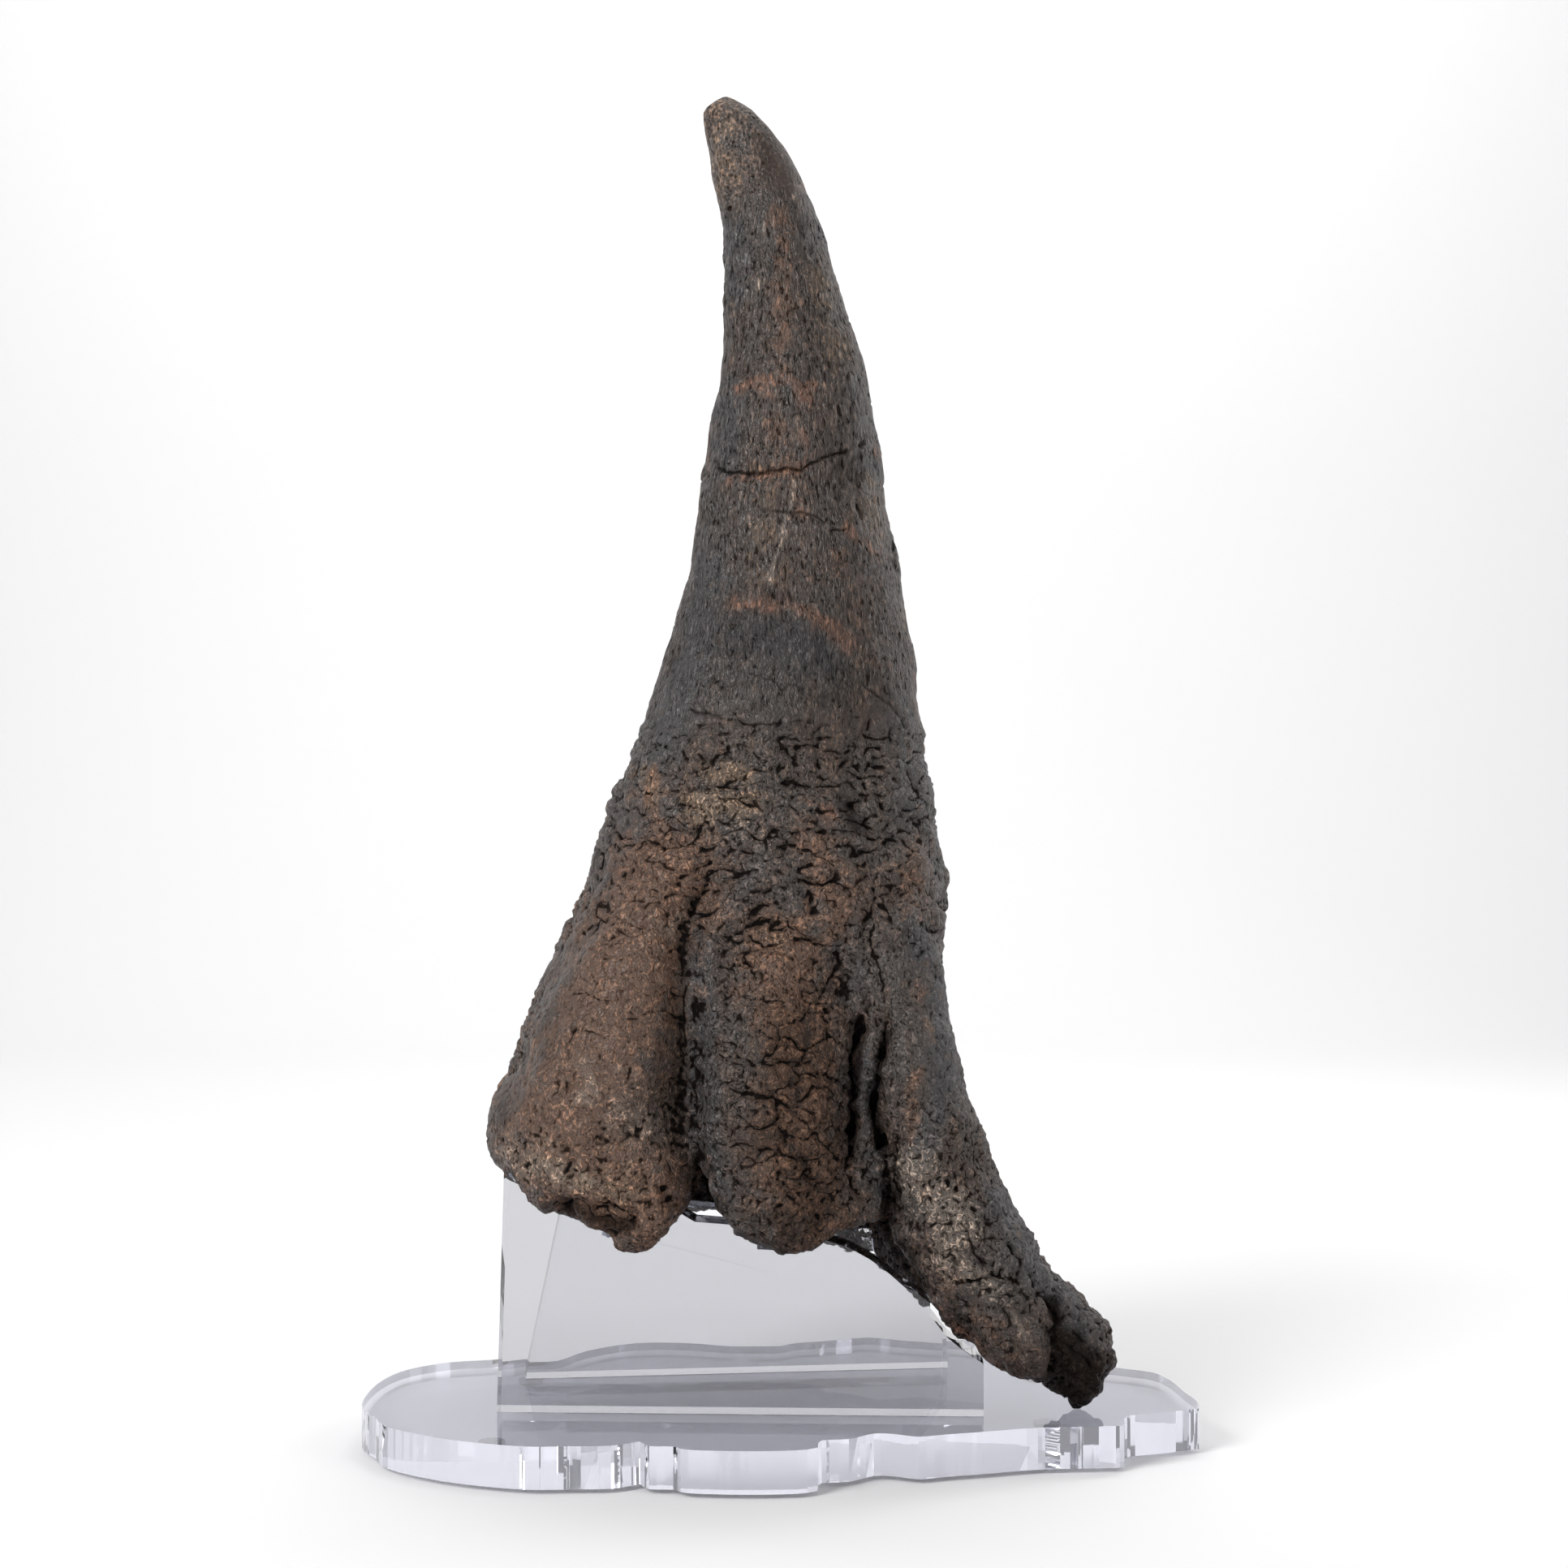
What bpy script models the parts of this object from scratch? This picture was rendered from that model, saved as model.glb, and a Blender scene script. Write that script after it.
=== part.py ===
# Fossil brow horn on a clear stand, in metres: +Z up, X to the viewer's right, +Y away from the viewer.
import math

import bpy
import numpy as np

# Clear stand: sheet thickness, bumper feet and the small gap kept between touching pieces.
SHEET = 0.025
FOOT_RADIUS = 0.008
FOOT_HEIGHT = 0.003
FOOT_SIDES = 24
GAP = 0.0003
SEAT_GAP = 0.0004
BASE_BOTTOM = FOOT_HEIGHT
BASE_TOP = BASE_BOTTOM + SHEET
CURVE_STEPS = 3

# All the points below are measured from the horn's axis. The origin is under the middle of the base.
BASE_MIDDLE = (-0.0025, 0.006)

# Wavy outline of the base seen from above, as smooth runs that meet at the stepped corners.
BASE_RUNS = [
    [(0.2545, -0.050), (0.256, -0.032), (0.252, -0.009), (0.248, 0.020), (0.240, 0.041),
     (0.222, 0.052), (0.196, 0.068), (0.172, 0.098), (0.142, 0.124), (0.108, 0.140),
     (0.080, 0.149), (0.057, 0.158), (0.024, 0.146), (0.007, 0.141), (-0.003, 0.132)],
    [(-0.003, 0.132), (-0.037, 0.132), (-0.066, 0.141), (-0.102, 0.141), (-0.133, 0.119),
     (-0.151, 0.090), (-0.172, 0.086), (-0.194, 0.076), (-0.221, 0.069), (-0.245, 0.050),
     (-0.256, 0.027), (-0.261, -0.002), (-0.261, -0.038), (-0.255, -0.058), (-0.247, -0.071)],
    [(-0.247, -0.071), (-0.240, -0.088), (-0.225, -0.103), (-0.205, -0.116), (-0.184, -0.126),
     (-0.150, -0.136), (-0.124, -0.1355), (-0.100, -0.134), (-0.084, -0.125)],
    [(-0.084, -0.125), (-0.078, -0.135), (-0.064, -0.136), (-0.055, -0.143), (-0.022, -0.146),
     (0.008, -0.144), (0.0195, -0.138)],
    [(0.0195, -0.138), (0.022, -0.123), (0.038, -0.120), (0.053, -0.108), (0.065, -0.109),
     (0.079, -0.115), (0.095, -0.110), (0.122, -0.103), (0.151, -0.095), (0.198, -0.091),
     (0.204, -0.086)],
    [(0.204, -0.086), (0.208, -0.068), (0.228, -0.061), (0.2545, -0.050)],
]

# Upright sheets: outline seen from the front, yaw in degrees, and where the front face crosses X = 0.
FRONT_OUTLINE = [
    (-0.1750, BASE_TOP + GAP), (0.1208, BASE_TOP + GAP), (0.1208, 0.0600), (0.1086, 0.0680),
    (0.0988, 0.0759), (0.0934, 0.0828), (0.0885, 0.0892), (0.0885, 0.0965), (0.0811, 0.1024),
    (0.0723, 0.1068), (0.0640, 0.1141), (0.0526, 0.1225), (0.0394, 0.1298), (0.0241, 0.1346),
    (0.0094, 0.1370), (0.0094, 0.1275), (-0.0163, 0.1285), (-0.0163, 0.1420), (-0.0285, 0.1430),
    (-0.0545, 0.1450), (-0.0645, 0.1510), (-0.1000, 0.1600), (-0.1400, 0.1680), (-0.1707, 0.1760),
]
FRONT_YAW = -2.1
FRONT_FACE = -0.0660
BACK_OUTLINE = [
    (-0.1660, BASE_TOP + GAP), (0.1077, BASE_TOP + GAP), (0.1066, 0.0500), (0.0965, 0.0640),
    (0.0827, 0.0846), (0.0677, 0.1130), (0.0620, 0.1190), (0.0340, 0.1190), (0.0000, 0.1270),
    (-0.0600, 0.1360), (-0.1000, 0.1460), (-0.1360, 0.1640), (-0.1454, 0.1270),
]
BACK_YAW = 6.2
BACK_FACE = 0.0500

FEET = {
    "foot_front_left": (-0.173, -0.102),
    "foot_front_right": (0.160, -0.059),
    "foot_back_left": (-0.165, 0.055),
    "foot_back_right": (0.165, 0.055),
}

# Horn trunk: height, left edge, right edge, front and back of each level section.
TRUNK = [
    (0.849, -0.0415, -0.0350, 0.007, 0.017), (0.842, -0.0520, -0.0237, -0.003, 0.025),
    (0.834, -0.0525, -0.0154, -0.007, 0.029), (0.818, -0.0490, -0.0020, -0.012, 0.033),
    (0.803, -0.0468, 0.0087, -0.016, 0.036), (0.772, -0.0401, 0.0211, -0.020, 0.038),
    (0.728, -0.0365, 0.0350, -0.026, 0.041), (0.690, -0.0390, 0.0460, -0.032, 0.044),
    (0.650, -0.0440, 0.0545, -0.039, 0.048), (0.600, -0.0520, 0.0628, -0.046, 0.053),
    (0.548, -0.0602, 0.0731, -0.054, 0.058), (0.496, -0.0715, 0.0818, -0.061, 0.065),
    (0.445, -0.0895, 0.0875, -0.069, 0.072), (0.419, -0.0988, 0.0885, -0.073, 0.076),
    (0.393, -0.1090, 0.0911, -0.076, 0.080), (0.342, -0.1250, 0.0978, -0.081, 0.088),
    (0.290, -0.1490, 0.0990, -0.084, 0.096), (0.239, -0.1695, 0.0965, -0.086, 0.100),
    (0.188, -0.1770, 0.0985, -0.088, 0.102), (0.150, -0.1720, 0.1070, -0.088, 0.104),
    (0.060, -0.1500, 0.1100, -0.086, 0.104),
]
TRUNK_SQUARENESS = 2.2

# Swellings of the bone around the base: middle, half sizes and lean in degrees about +Y.
SWELLINGS = [
    ((-0.104, -0.034, 0.235), (0.054, 0.074, 0.128), -19.0),
    ((-0.157, -0.018, 0.198), (0.029, 0.052, 0.030), -10.0),
    ((-0.090, -0.064, 0.168), (0.042, 0.044, 0.046), 0.0),
    ((-0.009, -0.060, 0.205), (0.046, 0.052, 0.112), -4.0),
    ((-0.092, 0.046, 0.235), (0.052, 0.060, 0.125), -19.0),
    ((0.036, 0.052, 0.215), (0.054, 0.058, 0.130), 4.0),
]

# Strut at the right: middle line with radius, and the two broken knobs at its end.
STRUT = [
    (0.056, -0.036, 0.350, 0.033), (0.0710, -0.050, 0.245, 0.0330), (0.0865, -0.050, 0.190, 0.0325),
    (0.0990, -0.049, 0.150, 0.0335), (0.1220, -0.050, 0.112, 0.0345), (0.1480, -0.052, 0.0800, 0.0320),
]
FRONT_KNOB = [(0.1390, -0.064, 0.084, 0.0240), (0.1465, -0.072, 0.0715, 0.0205)]
BACK_KNOB = [(0.1640, -0.040, 0.0800, 0.0250), (0.1800, -0.042, 0.0600, 0.0245),
             (0.1790, -0.050, 0.0480, 0.0165)]
STRUT_HOLLOW = [(0.070, -0.030, 0.122, 0.014), (0.122, -0.030, 0.044, 0.015)]

# Lower edge of the broken bone, seen from the front: the near rim and the far rim.
FRONT_RIM = [
    (-0.1880, 0.1880), (-0.1830, 0.1790), (-0.1750, 0.1700), (-0.1610, 0.1660), (-0.1465, 0.1510),
    (-0.1357, 0.1400), (-0.1210, 0.1350), (-0.1060, 0.1320), (-0.0840, 0.1330), (-0.0764, 0.1370),
    (-0.0670, 0.1490), (-0.0580, 0.1580), (-0.0560, 0.1700), (-0.0500, 0.1725), (-0.0450, 0.1700),
    (-0.0387, 0.1540), (-0.0300, 0.1480), (-0.0225, 0.1420), (-0.0080, 0.1325), (-0.0005, 0.1300),
    (0.0150, 0.1310), (0.0265, 0.1385), (0.0310, 0.1415), (0.0550, 0.1435), (0.0620, 0.1464),
    (0.0900, 0.1600), (0.1300, 0.1700),
]
BACK_RIM = [
    (-0.1880, 0.1880), (-0.1600, 0.1650), (-0.1200, 0.1400), (-0.0530, 0.1290), (0.0265, 0.1100),
    (0.0430, 0.1050), (0.0616, 0.0956), (0.0745, 0.0886), (0.0837, 0.0805), (0.0900, 0.0720),
    (0.1020, 0.0710), (0.1150, 0.0850), (0.1250, 0.1100), (0.1300, 0.1400),
]
RIM_TURN = (-0.045, 0.045)

# Open hollow under the bone: middle and half sizes.
HOLLOW = ((-0.022, 0.010, 0.092), (0.112, 0.063, 0.160))

# Furrows and ridges in the skin of the bone, seen from the front: points, half width and depth.
FRONT_FURROWS = [
    ([(-0.040, 0.360), (-0.052, 0.342), (-0.0585, 0.315), (-0.0605, 0.270), (-0.0575, 0.225),
      (-0.0555, 0.175)], 0.011, 0.009),
    ([(0.0455, 0.266), (0.0405, 0.243), (0.0410, 0.218), (0.0380, 0.188)], 0.0034, 0.012),
    ([(0.0620, 0.266), (0.0580, 0.240), (0.0545, 0.212), (0.0600, 0.196), (0.0680, 0.184),
      (0.0650, 0.150)], 0.0040, 0.011),
    ([(0.0500, 0.445), (0.0560, 0.380), (0.0580, 0.320), (0.0560, 0.275)], 0.008, 0.003),
    ([(-0.020, 0.330), (0.010, 0.322), (0.030, 0.312), (0.034, 0.280)], 0.006, 0.003),
    ([(0.1590, 0.092), (0.1605, 0.070), (0.1640, 0.052)], 0.0050, 0.008),
    ([(0.0900, 0.150), (0.1150, 0.136), (0.1300, 0.120)], 0.0060, -0.002),
    ([(-0.1370, 0.148), (-0.1180, 0.142), (-0.1010, 0.143)], 0.0065, 0.009),
    ([(-0.0400, 0.450), (-0.0200, 0.440), (0.0200, 0.455)], 0.0200, -0.002),
    ([(0.0000, 0.770), (-0.0050, 0.740), (0.0050, 0.700)], 0.0040, 0.0015),
]
BACK_FURROWS = [
    ([(-0.018, 0.390), (-0.030, 0.330), (-0.036, 0.270), (-0.027, 0.210), (-0.033, 0.150)], 0.017, 0.011),
    ([(0.068, 0.340), (0.078, 0.290), (0.080, 0.240), (0.090, 0.170)], 0.013, 0.006),
    ([(-0.1200, 0.290), (-0.1280, 0.240), (-0.1450, 0.185)], 0.012, 0.005),
    ([(0.010, 0.620), (0.014, 0.500), (0.020, 0.420)], 0.010, 0.003),
]
# Pits: position and radius.
PITS = [
    ((-0.070, -0.098, 0.166), 0.0055), ((0.026, -0.102, 0.196), 0.0040),
    ((0.1010, -0.088, 0.168), 0.0045), ((0.0640, -0.072, 0.398), 0.0045),
    ((-0.125, -0.085, 0.150), 0.0080), ((-0.060, 0.098, 0.250), 0.0060),
    ((0.052, 0.108, 0.200), 0.0060),
]

# How softly the shapes of the bone run into each other.
SWELLING_BLEND = 0.014
RIM_ROUNDING = 0.008
STRUT_BLEND = 0.012
KNOB_BLEND = 0.010
KNOB_CREASE = 0.004
STRUT_HOLLOW_ROUNDING = 0.006
HOLLOW_ROUNDING = 0.008
SIDE_REACH = 0.020
SIDE_SOFTNESS = 0.006
PIT_DEPTH = 1.2

# Sampling of the bone: spacing of the grid, its corner and far corner, and the share of facets kept.
GRID = 0.003
GRID_LOW = (-0.204, -0.132, 0.018)
GRID_HIGH = (0.222, 0.132, 0.861)
FACETS_KEPT = 0.0480
TINY = 1e-5
# Slow unevenness of the surface: waves per metre along each axis, phase and height.
WAVES = [
    ((61.0, 13.0, 29.0), 0.4, 0.0007), ((-23.0, 71.0, 17.0), 1.9, 0.0008),
    ((37.0, -41.0, 47.0), 3.1, 0.0007), ((118.0, 57.0, -73.0), 5.2, 0.0006),
    ((-91.0, 133.0, 88.0), 0.9, 0.0006), ((159.0, -121.0, 141.0), 2.6, 0.0005),
]


def smooth_union(a, b, blend):
    share = np.clip(0.5 + 0.5 * (b - a) / blend, 0.0, 1.0)
    return b + (a - b) * share - blend * share * (1.0 - share)


def smooth_cut(a, b, blend):
    return -smooth_union(-a, -b, blend)


def column(x, y, z, stations, squareness):
    heights = [s[0] for s in reversed(stations)]
    left, right, front, back = (
        np.interp(z, heights, [s[i] for s in reversed(stations)]) for i in (1, 2, 3, 4))
    half_x, half_y = (right - left) / 2, (back - front) / 2
    along = np.abs((x - (left + right) / 2) / half_x) ** squareness
    across = np.abs((y - (front + back) / 2) / half_y) ** squareness
    ring = (along + across) ** (1 / squareness)
    side = (ring - 1.0) * np.minimum(half_x, half_y)
    return np.maximum(side, z - heights[-1])


def ellipsoid(x, y, z, middle, sizes, lean):
    dx, dy, dz = x - middle[0], y - middle[1], z - middle[2]
    c, s = math.cos(math.radians(lean)), math.sin(math.radians(lean))
    u, w = dx * c + dz * s, dz * c - dx * s
    ring = np.sqrt((u / sizes[0]) ** 2 + (dy / sizes[1]) ** 2 + (w / sizes[2]) ** 2)
    return (ring - 1.0) * min(sizes)


def rod(x, y, z, start, end):
    ax, ay, az, ar = start
    bx, by, bz, br = end
    vx, vy, vz = bx - ax, by - ay, bz - az
    share = ((x - ax) * vx + (y - ay) * vy + (z - az) * vz) / (vx * vx + vy * vy + vz * vz)
    share = np.clip(share, 0.0, 1.0)
    distance = np.sqrt((x - ax - share * vx) ** 2 + (y - ay - share * vy) ** 2
                       + (z - az - share * vz) ** 2)
    return distance - (ar + (br - ar) * share)


def chain(x, y, z, points, blend):
    field = rod(x, y, z, points[0], points[1])
    for start, end in zip(points[1:], points[2:]):
        field = smooth_union(field, rod(x, y, z, start, end), blend)
    return field


def line_distance(x, z, points):
    best = None
    for (ax, az), (bx, bz) in zip(points, points[1:]):
        vx, vz = bx - ax, bz - az
        share = np.clip(((x - ax) * vx + (z - az) * vz) / (vx * vx + vz * vz), 0.0, 1.0)
        distance = np.sqrt((x - ax - share * vx) ** 2 + (z - az - share * vz) ** 2)
        best = distance if best is None else np.minimum(best, distance)
    return best


def rim_height(x, y):
    front = np.interp(x, [p[0] for p in FRONT_RIM], [p[1] for p in FRONT_RIM])
    back = np.interp(x, [p[0] for p in BACK_RIM], [p[1] for p in BACK_RIM])
    share = np.clip((y - RIM_TURN[0]) / (RIM_TURN[1] - RIM_TURN[0]), 0.0, 1.0)
    share = share * share * (3 - 2 * share)
    return front + (back - front) * share


def furrow(x, z, points, half_width, depth):
    near = line_distance(x, z, points) / half_width
    return depth * np.exp(-near ** 2)


def body_field(x, y, z):
    body = column(x, y, z, TRUNK, TRUNK_SQUARENESS)
    for middle, sizes, lean in SWELLINGS:
        body = smooth_union(body, ellipsoid(x, y, z, middle, sizes, lean), SWELLING_BLEND)
    return smooth_cut(body, rim_height(x, y) - z, RIM_ROUNDING)


def strut_field(x, y, z):
    strut = chain(x, y, z, STRUT, STRUT_BLEND)
    front_knob = chain(x, y, z, FRONT_KNOB, KNOB_BLEND)
    back_knob = chain(x, y, z, BACK_KNOB, KNOB_BLEND)
    knobs = smooth_union(front_knob, back_knob, KNOB_CREASE)
    strut = smooth_union(strut, knobs, KNOB_BLEND)
    return smooth_cut(strut, -chain(x, y, z, STRUT_HOLLOW, KNOB_BLEND), STRUT_HOLLOW_ROUNDING)


def skin(x, y, z):
    # Furrows, pits and slow waves, as a depth by which the surface moves inwards.
    front = 1.0 / (1.0 + np.exp((y + SIDE_REACH) / SIDE_SOFTNESS))
    back = 1.0 / (1.0 + np.exp((SIDE_REACH - y) / SIDE_SOFTNESS))
    depth = front * sum(furrow(x, z, *f) for f in FRONT_FURROWS)
    depth = depth + back * sum(furrow(x, z, *f) for f in BACK_FURROWS)
    for (px, py, pz), radius in PITS:
        near = ((x - px) ** 2 + (y - py) ** 2 + (z - pz) ** 2) / radius ** 2
        depth = depth + PIT_DEPTH * radius * np.exp(-near)
    for (kx, ky, kz), phase, height in WAVES:
        depth = depth + height * np.sin(kx * x + ky * y + kz * z + phase)
    return depth


def bone_field(x, y, z):
    bone = smooth_union(body_field(x, y, z), strut_field(x, y, z), KNOB_BLEND)
    bone = smooth_cut(bone, -ellipsoid(x, y, z, HOLLOW[0], HOLLOW[1], 0.0), HOLLOW_ROUNDING)
    return bone + skin(x, y, z)


def edge_crossings(field):
    # For every cell that the surface passes, the mean of the crossings on its twelve edges.
    size = np.array(field.shape) - 1
    total = np.zeros((*size, 3), dtype=np.float32)
    count = np.zeros(size, dtype=np.float32)
    for axis in range(3):
        others = [i for i in range(3) if i != axis]
        for a in (0, 1):
            for b in (0, 1):
                low = [slice(None)] * 3
                low[axis] = slice(0, size[axis])
                low[others[0]] = slice(a, a + size[others[0]])
                low[others[1]] = slice(b, b + size[others[1]])
                high = list(low)
                high[axis] = slice(1, size[axis] + 1)
                f0, f1 = field[tuple(low)], field[tuple(high)]
                cross = (f0 < 0) != (f1 < 0)
                share = np.where(cross, f0 / np.where(cross, f0 - f1, 1.0), 0.0)
                total[..., axis] += share
                total[..., others[0]] += a * cross
                total[..., others[1]] += b * cross
                count += cross
    return total, count


def surface_of(field, low, step):
    total, count = edge_crossings(field)
    cells = np.argwhere(count > 0)
    number = np.full(count.shape, -1, dtype=np.int64)
    number[tuple(cells.T)] = np.arange(len(cells))
    at = tuple(cells.T)
    points = (cells + total[at] / count[at][:, None]) * step + np.array(low)
    faces = []
    inside = field < 0
    for axis in range(3):
        u, v = (axis + 1) % 3, (axis + 2) % 3
        first = [slice(1, -1)] * 3
        first[axis] = slice(0, -1)
        second = [slice(1, -1)] * 3
        second[axis] = slice(1, None)
        starts = inside[tuple(first)]
        change = starts != inside[tuple(second)]
        where = np.argwhere(change)
        outward = starts[tuple(where.T)]
        where[:, u] += 1
        where[:, v] += 1
        ring = []
        for du, dv in ((-1, -1), (0, -1), (0, 0), (-1, 0)):
            cell = where.copy()
            cell[:, u] += du
            cell[:, v] += dv
            ring.append(number[tuple(cell.T)])
        quad = np.stack(ring, axis=1)
        quad[~outward] = quad[~outward][:, ::-1]
        faces.append(quad)
    return points, np.concatenate(faces)


def add_object(name, points, faces):
    mesh = bpy.data.meshes.new(name)
    shifted = [(p[0] - BASE_MIDDLE[0], p[1] - BASE_MIDDLE[1], p[2]) for p in points]
    mesh.from_pydata(shifted, [], [tuple(int(i) for i in f) for f in faces])
    mesh.validate()
    piece = bpy.data.objects.new(name, mesh)
    bpy.context.scene.collection.objects.link(piece)
    return piece


def softened(field):
    # One light pass along each axis, so that no crease is finer than the grid.
    for axis in range(3):
        ends = np.take(field, [0, -1], axis=axis)
        padded = np.concatenate([np.take(ends, [0], axis), field, np.take(ends, [1], axis)], axis)
        count = field.shape[axis]
        before = np.take(padded, range(0, count), axis)
        after = np.take(padded, range(2, count + 2), axis)
        field = (before + 2 * field + after) / 4
    return field


def without_saddles(field):
    # Where the two diagonals of a grid square lie on opposite sides of the surface, the surface
    # would touch itself along an edge, so one corner of the square is moved just inside.
    for first, second in ((0, 1), (1, 2), (0, 2)) * 3:
        near = [slice(0, -1) if i in (first, second) else slice(None) for i in range(3)]
        across = list(near)
        across[first] = slice(1, None)
        along = list(near)
        along[second] = slice(1, None)
        far = list(across)
        far[second] = slice(1, None)
        near, across, along, far = tuple(near), tuple(across), tuple(along), tuple(far)
        inside = field < 0
        paired = (inside[near] == inside[far]) & (inside[across] == inside[along])
        saddle = paired & (inside[near] != inside[across])
        for corner, other in ((near, across), (across, near)):
            part = field[corner]
            part[saddle & inside[other]] = -TINY
    return field


def bone_mesh():
    axes = [np.arange(low, high, GRID, dtype=np.float64) for low, high in zip(GRID_LOW, GRID_HIGH)]
    x, y, z = np.meshgrid(*axes, indexing="ij", sparse=True)
    field = bone_field(x, y, z) + np.zeros((len(axes[0]), len(axes[1]), len(axes[2])))
    return surface_of(without_saddles(softened(field)), GRID_LOW, GRID)


def keep_facets(piece):
    thin = piece.modifiers.new("fewer facets", "DECIMATE")
    thin.decimate_type = "COLLAPSE"
    thin.ratio = FACETS_KEPT
    thin.use_collapse_triangulate = True


def horn(points, faces):
    piece = add_object("horn", points, faces)
    keep_facets(piece)
    return piece


def horn_seat(points, faces):
    # The horn again, a hair larger, to cut the seats in the tops of the uprights.
    piece = add_object("horn_seat", points, faces)
    keep_facets(piece)
    grow = piece.modifiers.new("clearance", "DISPLACE")
    grow.mid_level = 0.0
    grow.strength = SEAT_GAP
    piece.hide_render = True
    piece.display_type = "WIRE"
    return piece


def smooth_run(points):
    # A soft curve through the points, up to but not including the last.
    padded = [points[0]] + points + [points[-1]]
    out = []
    for p0, p1, p2, p3 in zip(padded, padded[1:], padded[2:], padded[3:]):
        for step in range(CURVE_STEPS):
            t = step / CURVE_STEPS
            out.append(tuple(
                0.5 * (2 * b + (c - a) * t + (2 * a - 5 * b + 4 * c - d) * t * t
                       + (3 * b - a - 3 * c + d) * t ** 3)
                for a, b, c, d in zip(p0, p1, p2, p3)))
    return out


def prism(name, outline, bottom, top):
    count = len(outline)
    points = [(x, y, bottom) for x, y in outline] + [(x, y, top) for x, y in outline]
    faces = [tuple(reversed(range(count))), tuple(range(count, 2 * count))]
    faces += [(i, (i + 1) % count, count + (i + 1) % count, count + i) for i in range(count)]
    return add_object(name, points, faces)


def base_plate():
    outline = [p for run in BASE_RUNS for p in smooth_run(run)]
    return prism("base_plate", outline, BASE_BOTTOM, BASE_TOP)


def upright(name, outline, yaw, face, seat):
    c, s = math.cos(math.radians(yaw)), math.sin(math.radians(yaw))
    front, back = [], []
    for x, z in outline:
        along = x / c
        front.append((along * c, face + along * s, z))
        back.append((along * c - SHEET * s, face + along * s + SHEET * c, z))
    count = len(outline)
    faces = [tuple(range(count)), tuple(reversed(range(count, 2 * count)))]
    faces += [((i + 1) % count, i, count + i, count + (i + 1) % count) for i in range(count)]
    piece = add_object(name, front + back, faces)
    cut = piece.modifiers.new("seat", "BOOLEAN")
    cut.operation = "DIFFERENCE"
    cut.solver = "EXACT"
    cut.use_self = True
    cut.object = seat
    return piece


def foot(name, middle):
    turns = [2 * math.pi * i / FOOT_SIDES for i in range(FOOT_SIDES)]
    outline = [(middle[0] + FOOT_RADIUS * math.cos(t), middle[1] + FOOT_RADIUS * math.sin(t))
               for t in turns]
    return prism(name, outline, 0.0, FOOT_HEIGHT - GAP)


def main():
    for old in list(bpy.data.objects):
        bpy.data.objects.remove(old)
    points, faces = bone_mesh()
    horn(points, faces)
    seat = horn_seat(points, faces)
    base_plate()
    upright("front_plate", FRONT_OUTLINE, FRONT_YAW, FRONT_FACE, seat)
    upright("back_plate", BACK_OUTLINE, BACK_YAW, BACK_FACE, seat)
    for name, middle in FEET.items():
        foot(name, middle)


main()
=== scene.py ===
import itertools
import math

import bmesh
import bpy
import numpy as np
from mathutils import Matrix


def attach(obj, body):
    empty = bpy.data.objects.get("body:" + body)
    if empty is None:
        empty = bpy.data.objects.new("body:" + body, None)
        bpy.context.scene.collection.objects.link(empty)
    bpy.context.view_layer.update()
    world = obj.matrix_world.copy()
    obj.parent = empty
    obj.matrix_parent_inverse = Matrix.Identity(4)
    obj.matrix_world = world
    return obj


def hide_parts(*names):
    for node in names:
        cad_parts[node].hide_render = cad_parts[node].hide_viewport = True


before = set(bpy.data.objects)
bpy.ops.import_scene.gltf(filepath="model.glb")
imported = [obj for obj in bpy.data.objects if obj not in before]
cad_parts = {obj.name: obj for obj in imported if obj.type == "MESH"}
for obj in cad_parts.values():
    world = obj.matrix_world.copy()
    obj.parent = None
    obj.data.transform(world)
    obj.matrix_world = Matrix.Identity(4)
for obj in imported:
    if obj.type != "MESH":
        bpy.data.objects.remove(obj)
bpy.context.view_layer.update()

# The view: where the eye is, and the focal length in points of a square picture this many points across.
EYE = (0.0025, -1.5495, 0.411)
FOCAL = 3000.0
PICTURE = 1932.0
SENSOR = 36.0

# Middle of the horn at each height: height, and its place to the side and in depth.
HORN_AXIS = [
    (0.05, -0.020, 0.003), (0.20, -0.035, 0.001), (0.34, -0.011, -0.002), (0.45, 0.002, -0.004),
    (0.55, 0.009, -0.004), (0.65, 0.008, -0.001), (0.73, 0.002, 0.002), (0.80, -0.016, 0.004),
    (0.85, -0.036, 0.006),
]

# The bone's mesh: the spacing of its points in metres before any is taken out, and its triangles after
VOXEL = 0.00125
TRIANGLES = 194000

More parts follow.
